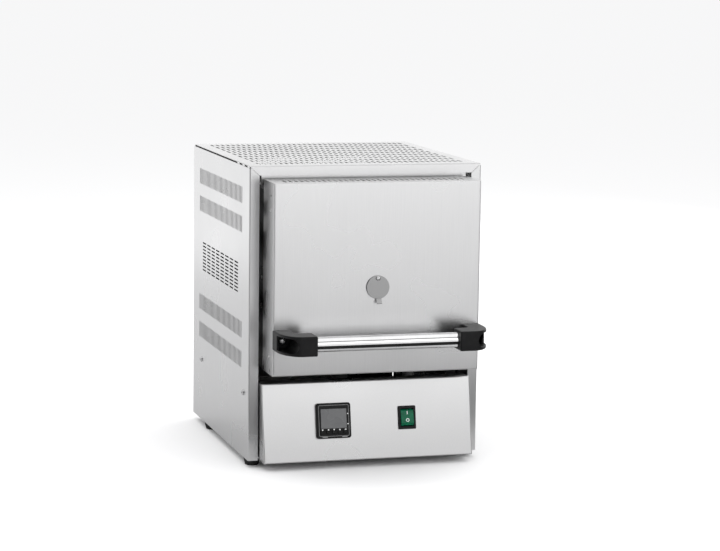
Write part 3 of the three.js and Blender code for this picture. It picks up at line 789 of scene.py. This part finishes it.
door = Box("door_shell")
handle = Box("handle_tube")
cover = Box("sight_cover")
cover_screw = Box("sight_cover_screw")
SIGHT_R = cover.w / 2
sight_z = cover.z1 - SIGHT_R
DOOR_SLOT = {"count": 33, "pitch": 7.7 * MM, "long": 24 * MM, "wide": 2.9 * MM}
DOOR_BEND = 1.3 * MM
GROOVE = 0.5 * MM                # width and depth of the scored line beside an upright fold
DOOR_HOLES = [(door.y0 + 16.9 * MM, door.z1 - 17.9 * MM), (door.y0 + 18.5 * MM, door.z0 + 5.4 * MM)]
DOOR_RIVETS = [(door.y0 + 18.3 * MM, door.z1 - 37.3 * MM), (door.y0 + 22.4 * MM, door.z0 + 24.4 * MM)]
RIVET_HEAD = [(0, 1.0 * MM), (1.2 * MM, 0.85 * MM), (2.0 * MM, 0.4 * MM), (2.3 * MM, 0), (0, 0)]


def door_top_slots():
    y = door.y0 + 25.5 * MM
    outlines = [
        turned(stadium((y, x), DOOR_SLOT["long"], DOOR_SLOT["wide"]))
        for x in spaced(DOOR_SLOT["count"], DOOR_SLOT["pitch"])
    ]
    return slots("z", outlines, (door.z1 - 3 * MM, door.z1 + LAP))


def door_skin():
    """The door's folded pan: soft bends around the face, and a seam at each corner behind it."""
    shell = block((door.x0, door.x1), (door.y0, door.y1), (door.z0, door.z1))
    soften(shell, DOOR_BEND, 5, lambda middle, run: middle.y < door.y0 + LAP)
    inside = block(
        (door.x0 + SHEET, door.x1 - SHEET),
        (door.y0 + SHEET, door.y1 + LAP),
        (door.z0 + SHEET, door.z1 - SHEET),
    )
    tools = [inside, door_top_slots()]
    for side in SIDES.values():
        groove_x = mirrored(side, door.x1 - 1.5 * MM, door.x1 - 1.5 * MM - GROOVE)
        tools.append(block(groove_x, (door.y0 - LAP, door.y0 + GROOVE), (door.z0 - LAP, door.z1 + LAP)))
        for y, z in DOOR_HOLES:
            within, beyond = (side * (door.x1 + reach) for reach in (-3 * MM, LAP))
            tools.append(cylinder(1.7 * MM, (within, y, z), (beyond, y, z), 20))
        seam_x = mirrored(side, door.x1 - 0.5 * MM, door.x1 + LAP)
        for z in (door.z1 - 1.3 * MM, door.z0 + 1.0 * MM):
            tools.append(block(seam_x, (door.y0 + 2.2 * MM, door.y1 + LAP), (z, z + 0.35 * MM)))
    sight = (0, door.y0 - LAP, sight_z)
    tools.append(cylinder(7.3 * MM, sight, (0, door.y0 + 3 * MM, sight_z), 32))
    piece("door_skin", cut(shell, *tools), "door", "stainless", "door_shell")


def door_rivets():
    for name, side in SIDES.items():
        for i, (y, z) in enumerate(DOOR_RIVETS):
            place = (side * door.x1, y, z)
            rivet(f"door_rivet_{name}_{i}", RIVET_HEAD, place, side, "door", 20)


def sight_flap():
    """A thin disc on one screw, with a finger tab bent forward under it."""
    front, rear = cover.y0, cover.y1
    disc = lathe(
        [(0, 0), (SIGHT_R - 0.25 * MM, 0), (SIGHT_R, 0.25 * MM), (SIGHT_R, cover.d - 0.15 * MM),
         (SIGHT_R - 0.15 * MM, cover.d), (0, cover.d)],
        (0, front, sight_z), (0, 1, 0), 64)
    bottom = cover.z0
    tab = folded([(front, bottom + 8 * MM), (front, bottom + 5.2 * MM), (front - 4.2 * MM, bottom)][::-1],
                 cover.d * 0.999, cover.d + 0.6 * MM)
    flap = join(disc, prism(tab, "x", -2.6 * MM, 4.5 * MM))
    pivot = cover_screw.z
    hole = cylinder(1.9 * MM, (0, front - 8 * MM, pivot), (0, rear + LAP, pivot), 24)
    piece("sight_flap", cut(flap, hole), "sight_cover", "stainless", "sight_cover", look="flap")


def sight_parts():
    sight_flap()
    pan_screw("flap_screw", (0, cover.y0 - 0.1 * MM, cover_screw.z), (0, -1, 0),
              3.2 * MM, 2.0 * MM, "door", "sight_cover_screw")
    bore = Box("sight_tube")
    ends = ((0, bore.y0, sight_z), (0, bore.y1, sight_z))
    piece("sight_sleeve", tube(bore.w / 2, bore.w / 2 - 2 * MM, *ends), "door", "brick", "sight_tube")


def door_rear():
    refine("door_lining", "door_back_plate", "door", "stainless", 0.3 * MM)
    refine("door_plug", "door_insulation", "door", "fibre", 1.6 * MM, 3)
    lining = Box("door_back_plate")
    columns = (lining.x0 + 20 * MM, 0.0, lining.x1 - 20 * MM)
    rows = (lining.z0 + 9 * MM, lining.z1 - 9 * MM)
    screw_grid("lining_screw", columns, lining.y1, rows, 2.8 * MM, 1.0 * MM, "door")


# ---- handle -----------------------------------------------------------------------------------

BRACKET_BEND = (26 * MM, 43 * MM)              # how far the outer bend reaches across and back
POCKET_LIP = 3.5 * MM


def bracket_outline(box):
    """The bracket seen from above, on the right-hand side: a foot on the door, curving forward."""
    outer, inner, front, foot = box.x1, box.x0, box.y0, box.y1
    across, back = BRACKET_BEND
    steps = 14
    outline = [(outer, foot)]
    for i in range(steps + 1):
        angle = math.pi / 2 * i / steps
        outline.append((outer - across + across * math.cos(angle), front + back - back * math.sin(angle)))
    outline += arc((inner + 2 * MM, front + 2 * MM), 2 * MM, 270, 180, 4)
    outline += [(inner, front + 29 * MM)]
    outline += arc((inner + 3 * MM, front + 30 * MM), 3 * MM, 180, 90, 4)
    outline += arc((inner + 13 * MM, front + 42 * MM), 9 * MM, -90, 0, 8)
    outline += [(inner + 22 * MM, foot)]
    return outline


def handle_bracket(name, side):
    """One bracket: its bent body, the pocket for its screw, and the socket for the tube."""
    node = f"handle_bracket_{name}"
    right = Box("handle_bracket_right")
    box = Box(node)
    body = prism([(side * x, y) for x, y in bracket_outline(right)], "z", box.z0, box.z1)
    soften(body, 1.7 * MM, 4, lambda middle, run: abs(run.z) < 0.5)
    screw = Box(f"handle_screw_{name}")
    half = box.h / 2 - POCKET_LIP
    floor_y = right.y1 - 9.7 * MM
    ahead = right.y0 - 10 * MM
    outer = right.x1
    level = (handle.z - half, handle.z + half)
    slot_x = sorted((side * (outer - 3 * MM), screw.x))
    open_x = mirrored(side, outer + 6 * MM, outer - 4 * MM)
    socket_end = side * (handle.w / 2 + 0.3 * MM)
    body = cut(
        body,
        soften(block(slot_x, (ahead, floor_y), level), 1.2 * MM, 3),
        soften(block(open_x, (ahead, floor_y - 12 * MM), level), 1.2 * MM, 3),
        cylinder(half, (screw.x, ahead, handle.z), (screw.x, floor_y, handle.z), 40),
        cylinder(handle.d / 2 + 0.3 * MM, (side * 90 * MM, handle.y, handle.z),
                 (socket_end, handle.y, handle.z), 48),
    )
    piece(f"handle_end_{name}", body, "door", "black_plastic", node, sharp=38)
    seat = (screw.x, floor_y - 0.05 * MM, handle.z)
    pan_screw(f"handle_bolt_{name}", seat, (0, -1, 0), 4.4 * MM, 2.6 * MM, "door", f"handle_screw_{name}")


def handle_parts():
    ends = ((handle.x0, handle.y, handle.z), (handle.x1, handle.y, handle.z))
    rail = tube(handle.d / 2, handle.d / 2 - 1.5 * MM, *ends, segments=72)
    piece("handle_rail", rail, "door", "chrome", "handle_tube")
    for name, side in SIDES.items():
        handle_bracket(name, side)


# ---- control panel ----------------------------------------------------------------------------
# The instruments are drawn on the sloping face: y points into the panel and z runs up the slope.

panel = Box("control_panel")
PANEL_LEAN = 20.3 * MM                         # how far the face leans back over its height
TILT = math.atan2(PANEL_LEAN, panel.h)
PANEL_MID = 54.8 * MM                          # height of the instruments, up the slope
PANEL_FRAME = Matrix.Translation((0, panel.y0, panel.z0)) @ Matrix.Rotation(-TILT, 4, "X")
FROM_WORLD = PANEL_FRAME.inverted()


def on_panel(bm):
    bmesh.ops.transform(bm, matrix=PANEL_FRAME, verts=bm.verts)
    return bm


def panel_box(node):
    """A node's box in the panel's own axes."""
    box = Box(node)
    places = [FROM_WORLD @ vert.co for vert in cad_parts[node].data.vertices]
    for axis in "xyz":
        values = [getattr(place, axis) for place in places]
        setattr(box, axis + "0", min(values))
        setattr(box, axis + "1", max(values))
        setattr(box, axis, (min(values) + max(values)) / 2)
    box.w, box.d, box.h = box.x1 - box.x0, box.y1 - box.y0, box.z1 - box.z0
    return box


def pad(centre, size, radius, front, rear, steps=5):
    """A rounded rectangle parallel to the panel, between two depths."""
    return prism(rounded_rectangle(centre, *size, radius, steps), "y", front, rear)


def ease_front(bm, face, width, segments=3):
    """Rounds the edges of the face nearest the viewer."""
    return soften(bm, width, segments, lambda middle, run: middle.y < face + 0.1 * MM)


def panel_sheet():
    """The sloping cover, folded all round, with a window for each instrument."""
    rear = panel.y1
    outside = [(panel.y0, panel.z0), (panel.y0 + PANEL_LEAN, panel.z1), (rear, panel.z1), (rear, panel.z0)]
    shell = prism(outside, "x", panel.x0, panel.x1)
    soften(shell, BEND, 5, lambda middle, run: middle.y < panel.y0 + PANEL_LEAN + LAP)
    skin, rim = SHEET / math.cos(TILT), SHEET * math.tan(TILT)
    hollow = [
        (panel.y0 + skin + rim, panel.z0 + SHEET),
        (panel.y0 + PANEL_LEAN + skin - rim, panel.z1 - SHEET),
        (rear + LAP, panel.z1 - SHEET),
        (rear + LAP, panel.z0 + SHEET),
    ]
    controller = panel_box("temperature_controller")
    switch = panel_box("power_switch_frame")
    body = 22.6 * MM
    holes = [
        ((controller.x - body, controller.x + body), (PANEL_MID - body, PANEL_MID + body)),
        ((switch.x - 11 * MM, switch.x + 11 * MM), (PANEL_MID - 14.5 * MM, PANEL_MID + 14.5 * MM)),
    ]
    tools = [on_panel(block(xs, (-5 * MM, 5 * MM), zs)) for xs, zs in holes]
    shell = cut(shell, prism(hollow, "x", panel.x0 + SHEET, panel.x1 - SHEET), *tools)
    piece("panel_sheet", shell, "casing", "stainless", "control_panel")


def controller_bezel():
    """A rounded frame with a bevelled rim, a sunken face, a window and five key wells."""
    box = panel_box("temperature_controller")
    window = panel_box("controller_display")
    face = box.y0
    centre = (box.x, box.z)
    body = ease_front(pad(centre, (box.w, box.h), 3.5 * MM, face, -0.3 * MM, 6), face, 1.0 * MM)
    half = box.w / 2 - 1.7 * MM
    rear_box = block((box.x - half, box.x + half), (-2 * MM, box.y1), (box.z - half, box.z + half))
    body = join(body, soften(rear_box, 0.8 * MM, 2))
    gap = 0.6 * MM
    sunk = pad(centre, (42.5 * MM, 42.5 * MM), 2.2 * MM, face - LAP, face + 0.7 * MM, 6)
    screen = pad((window.x, window.z), (window.w + gap, window.h + gap), 0.9 * MM,
                 face - LAP, face + 1.6 * MM)
    tools = [sunk, screen]
    for i in range(1, 6):
        key = panel_box(f"controller_key_{i}")
        size = (key.w + gap, key.h + gap)
        tools.append(pad((key.x, key.z), size, 1.2 * MM, face - LAP, face + 4 * MM))
    body = on_panel(cut(body, *tools))
    piece("controller_bezel", body, "casing", "black_plastic", "temperature_controller", look="bezel")
    # A thin grey ring round the sunken face is a painted highlight: it stands for the light caught by the
    # bezel's inner bevel.
    outer = pad(centre, (42.4 * MM, 42.4 * MM), 2.2 * MM, face + 0.3 * MM, face + 0.8 * MM, 6)
    inner = pad(centre, (41.3 * MM, 41.3 * MM), 1.7 * MM, face - LAP, face + 3 * MM, 6)
    piece("controller_rim_painted_highlight", on_panel(cut(outer, inner)), "casing", "relay_white", look="painted_highlight_grey")


def controller_window():
    box = panel_box("controller_display")
    face = box.y0 + 0.25 * MM
    glass = pad((box.x, box.z), (box.w, box.h), 0.7 * MM, face, box.y1)
    piece("controller_window", on_panel(ease_front(glass, face, 0.3 * MM, 2)), "casing", "display",
          "controller_display")


def key_symbol(kind, x, z):
    """Generic marks over the keys: arrows, a bar and squares."""
    size = 1.25 * MM
    shapes = {
        "left": [(-size, 0), (size * 0.8, -size), (size * 0.8, size)],
        "down": [(0, -size), (size, size * 0.8), (-size, size * 0.8)],
        "up": [(0, size), (-size, -size * 0.8), (size, -size * 0.8)],
        "bar": [(-size, -size * 0.5), (size, -size * 0.5), (size, size * 0.5), (-size, size * 0.5)],
        "square": [(-size * 0.7, -size * 0.7), (size * 0.7, -size * 0.7), (size * 0.7, size * 0.7),
                   (-size * 0.7, size * 0.7)],
    }
    return [(x + a, z + b) for a, b in shapes[kind]]


def controller_keys():
    """The keys, a symbol over each, two marks beside the window, and two grey bars under the keys that are a
    painted highlight.
    """
    marks = []
    for i, kind in enumerate(("square", "left", "down", "up", "bar"), 1):
        node = f"controller_key_{i}"
        box = panel_box(node)
        cap = pad((box.x, box.z), (box.w, box.h), 1.0 * MM, box.y0, box.y1)
        piece(f"key_cap_{i}", on_panel(ease_front(cap, box.y0, 0.5 * MM)), node, "black_plastic", node)
        marks.append(key_symbol(kind, box.x, box.z1 + 1.3 * MM))
    box = panel_box("temperature_controller")
    face = box.y0 + 0.7 * MM
    for z in (8.9 * MM, -4.9 * MM):
        marks.append(rounded_rectangle((box.x + 19.9 * MM, box.z + z), 2.2 * MM, 1.2 * MM, 0.4 * MM))
    proud = gather([prism(mark, "y", face - 0.1 * MM, face + 0.1 * MM) for mark in marks])
    piece("controller_marks", on_panel(proud), "casing", "relay_white", look="print_white")
    # Two grey bars along the bezel's bottom edge are painted highlights, not parts of the controller.
    for i, x in enumerate((-13 * MM, 14.5 * MM)):
        highlight_bar = pad((box.x + x, box.z - 22.0 * MM), (7.5 * MM, 1.0 * MM), 0.4 * MM,
                   box.y0 - 0.1 * MM, box.y0 + 0.6 * MM)
        piece(f"bezel_painted_highlight_{i}", on_panel(highlight_bar), "casing", "relay_white", look="painted_highlight_grey")


def switch_frame():
    """The rocker's black frame, with its housing behind the panel and the well it tilts in."""
    box = panel_box("power_switch_frame")
    face = box.y0
    body = pad((box.x, box.z), (box.w, box.h), 1.5 * MM, face, -0.3 * MM)
    ease_front(body, face, 0.8 * MM)
    half_w, half_h = box.w / 2 - 1.8 * MM, box.h / 2 - 1.8 * MM
    housing = block((box.x - half_w, box.x + half_w), (-1 * MM, box.y1), (box.z - half_h, box.z + half_h))
    well_w, well_h = 9.3 * MM, 12.3 * MM
    well = block((box.x - well_w, box.x + well_w), (face - 5 * MM, 14 * MM),
                 (box.z - well_h, box.z + well_h))
    piece("switch_bezel", on_panel(cut(join(body, housing), well)), "casing", "black_plastic",
          "power_switch_frame")


ROCKER_TURN = Matrix.Translation((0, 2.5 * MM, PANEL_MID)) @ Matrix.Rotation(math.radians(-8), 4, "X")


def rocker():
    """The lens, with an I and an O let into its two ends."""
    lens = soften(copied("power_rocker"), 0.7 * MM, 3, angle=20)
    piece("rocker_lens", lens, "power_rocker", "green_plastic", "power_rocker", sharp=50)
    x = panel_box("power_rocker").x
    depths = (-6.6 * MM, -6.3 * MM)
    stroke = pad((x, 5.6 * MM), (1.0 * MM, 4.6 * MM), 0.3 * MM, *depths)
    outer, inner = (arc((x, -4.6 * MM), radius, 0, 348.75, 31) for radius in (2.4 * MM, 1.55 * MM))
    ring = cut(prism(outer, "y", *depths), prism(inner, "y", -7.5 * MM, -5.5 * MM))
    marks = gather([stroke, ring])
    bmesh.ops.transform(marks, matrix=ROCKER_TURN, verts=marks.verts)
    piece("rocker_marks", on_panel(marks), "power_rocker", "relay_white", look="print_white")


def control_panel():
    panel_sheet()
    controller_bezel()
    controller_window()
    controller_keys()
    switch_frame()
    rocker()


# ---- electrical bay ---------------------------------------------------------------------------

INLET_AT = (105 * MM, 60 * MM)   # the socket's middle, across and above the ground


def power_inlet():
    """The inlet on its corner plate: three pins in the socket, a raised rim, and four screws."""
    plate = Box("power_inlet")
    x, z = INLET_AT
    refine("inlet_housing", "power_inlet", "casing", "black_plastic", 0.3 * MM)
    pins = []
    for across, up in ((-7 * MM, -2 * MM), (0, 2.5 * MM), (7 * MM, -2 * MM)):
        blade = block((x + across - 1 * MM, x + across + 1 * MM), (plate.y1 - 14.9 * MM, plate.y1 - 3 * MM),
                      (z + up - 2 * MM, z + up + 2 * MM))
        pins.append(soften(blade, 0.4 * MM, 2))
    piece("inlet_pins", gather(pins), "casing", "zinc_screw")
    rim = pad((x, z), (48 * MM, 27 * MM), 5 * MM, plate.y1 - 0.2 * MM, plate.y1 + 1.0 * MM, 6)
    mouth = block((x - 12 * MM, x + 12 * MM), (plate.y1 - LAP, plate.y1 + 2 * LAP),
                  (z - 8.2 * MM, z + 8.2 * MM))
    piece("inlet_rim", soften(cut(rim, mouth), 0.3 * MM, 2), "casing", "black_plastic")
    for i, across in enumerate((-18.5 * MM, 18.5 * MM)):
        pan_screw(f"inlet_screw_{i}", (x + across, plate.y1 + 1.0 * MM, z), (0, 1, 0), 2.4 * MM,
                  0.7 * MM, "casing")
    inset = 5 * MM
    screw_grid("plate_screw", (plate.x0 + inset, plate.x1 - inset), plate.y1,
               (plate.z0 + inset, plate.z1 - inset), 2.6 * MM, 0.9 * MM, "casing")


def electrical_bay():
    power_inlet()
    refine("relay_case", "solid_state_relay", "casing", "relay_white", 0.8 * MM)
    refine("terminal_strip", "terminal_block", "casing", "relay_white", 0.6 * MM)
    refine("sink_extrusion", "relay_heat_sink", "casing", "aluminium", 0.25 * MM)


# ---- camera, light and floor ------------------------------------------------------------------

CAMERA = {"place": (-0.90312, -3.18929, 0.71237), "yaw": 0.28337, "pitch": 0.14055, "roll": 0.013204}
LENS = 119.28                                  # mm on a 36 mm wide sensor


def make_camera():
    yaw, pitch, roll = (CAMERA[name] for name in ("yaw", "pitch", "roll"))
    forward = Vector((
        math.sin(yaw) * math.cos(pitch),
        math.cos(yaw) * math.cos(pitch),
        -math.sin(pitch),
    ))
    right = Vector((math.cos(yaw), -math.sin(yaw), 0))
    up = right.cross(forward)
    across = right * math.cos(roll) + up * math.sin(roll)
    upward = up * math.cos(roll) - right * math.sin(roll)
    data = bpy.data.cameras.new("camera")
    data.lens = LENS
    data.sensor_width = 36
    data.sensor_fit = "HORIZONTAL"
    data.clip_start, data.clip_end = 0.05, 50
    camera = linked("camera", data)
    turn = Matrix((across, upward, -forward)).transposed().to_4x4()
    camera.matrix_world = Matrix.Translation(CAMERA["place"]) @ turn
    bpy.context.scene.camera = camera


FLOOR_IN_REFLECTIONS = 0.52        # the metal sees the floor and the room darker than the camera does
WORLD_IN_REFLECTIONS = 0.30


def card(name, place, facing, size, radiance):
    """An evenly lit white panel that the camera doesn't see."""
    data = bpy.data.lights.new(name, "AREA")
    data.shape = "RECTANGLE"
    data.size, data.size_y = size
    data.energy = radiance * math.pi * size[0] * size[1]
    light = linked(name, data)
    light.location = place
    light.rotation_mode = "QUATERNION"
    light.rotation_quaternion = Vector(facing).to_track_quat("-Z", "Y")
    light.visible_camera = False


def staged(name, bm, look):
    mesh = as_mesh(name, bm)
    mesh.materials.append(look.material)
    obj = linked(name, mesh)
    return obj


def make_floor():
    """A pale floor, which the metal's reflections see darker, as in a studio with dark surroundings."""
    look = Look("floor", Specular_IOR_Level=0.0, Roughness=1.0)
    path = look.node("LightPath").outputs["Is Glossy Ray"]
    look.colour(look.blend(path, grey(0.93), grey(FLOOR_IN_REFLECTIONS), 0.0, 1.0))
    staged("floor", block((-30, 30), (-30, 30), (-0.02, 0)), look)


def make_flags():
    """Black sheets, seen only in reflections, that draw dark lines along the handle and the folds."""
    look = Look("flag", Specular_IOR_Level=0.0, Roughness=1.0)
    look.colour(look.blend(look.noise(2.0), grey(0.01), grey(0.02)))
    sheets = {
        "floor": block((-1.4, 1.6), (-0.74, -0.28), (0.001, 0.002)),
        "left": block((-1.10, -0.34), (-1.30, -1.299), (0.002, 0.8)),
        "right": block((0.95, 0.951), (-0.75, 0.02), (0.002, 0.7)),
    }
    for name, bm in sheets.items():
        flag = staged(f"flag_{name}", bm, look)
        flag.visible_camera = False
        flag.visible_diffuse = False
        flag.visible_transmission = False
        flag.visible_shadow = False


def make_world():
    world = bpy.data.worlds.new("studio")
    world.use_nodes = True
    tree = world.node_tree
    background = next(n for n in tree.nodes if n.type == "BACKGROUND")
    background.inputs["Color"].default_value = (1, 1, 1, 1)
    path = tree.nodes.new("ShaderNodeLightPath")
    ranged = tree.nodes.new("ShaderNodeMapRange")
    ranged.inputs["To Min"].default_value = 1.0
    ranged.inputs["To Max"].default_value = WORLD_IN_REFLECTIONS
    tree.links.new(path.outputs["Is Glossy Ray"], ranged.inputs["Value"])
    tree.links.new(ranged.outputs["Result"], background.inputs["Strength"])
    bpy.context.scene.world = world


def make_studio():
    bpy.context.scene.view_settings.view_transform = "Standard"
    make_world()
    card("front_low", (0.92, -1.5, 0.17), (0, 1, 0), (2.5, 0.34), 0.40)
    card("front_high", (0.92, -1.5, 0.73), (0, 1, 0), (2.5, 0.78), 1.14)
    card("overhead", (0, -0.2, 2.2), (0, 0, -1), (3.2, 3.2), 0.80)
    card("left_back", (-1.15, 1.35, 0.72), (0.45, -0.89, 0), (1.8, 1.4), 0.56)
    card("back", (1.0, 2.6, 1.0), (-0.2, -1, 0), (3.0, 1.5), 0.85)
    card("right", (2.2, 1.5, 0.85), (-1, -0.3, 0), (2.0, 1.5), 0.8)
    make_floor()
    make_flags()


# ---- the kiln ---------------------------------------------------------------------------------

def carried_over():
    """The CAD nodes that are shown as they are get a material."""
    # The partition plate and the chamber jacket get the near-black steel as painted shade, so the gaps round
    # and under the door read black.
    for node, slot in {
        "base_plate": "galvanised",
        "partition_plate": "dark_steel",
        "chamber_jacket": "dark_steel",
        "chamber_insulation": "fibre",
    }.items():
        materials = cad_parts[node].data.materials
        materials.clear()
        materials.append(LOOKS[slot])


LOOKS = make_looks()
make_camera()
make_studio()
for side_name, side_sign in SIDES.items():
    side_sheet(side_name, side_sign)
lid_sheet()
rear_sheet()
side_screws()
feet()
crossbar()
chamber()
door_lift()
door_skin()
door_rivets()
sight_parts()
door_rear()
handle_parts()
control_panel()
electrical_bay()
carried_over()
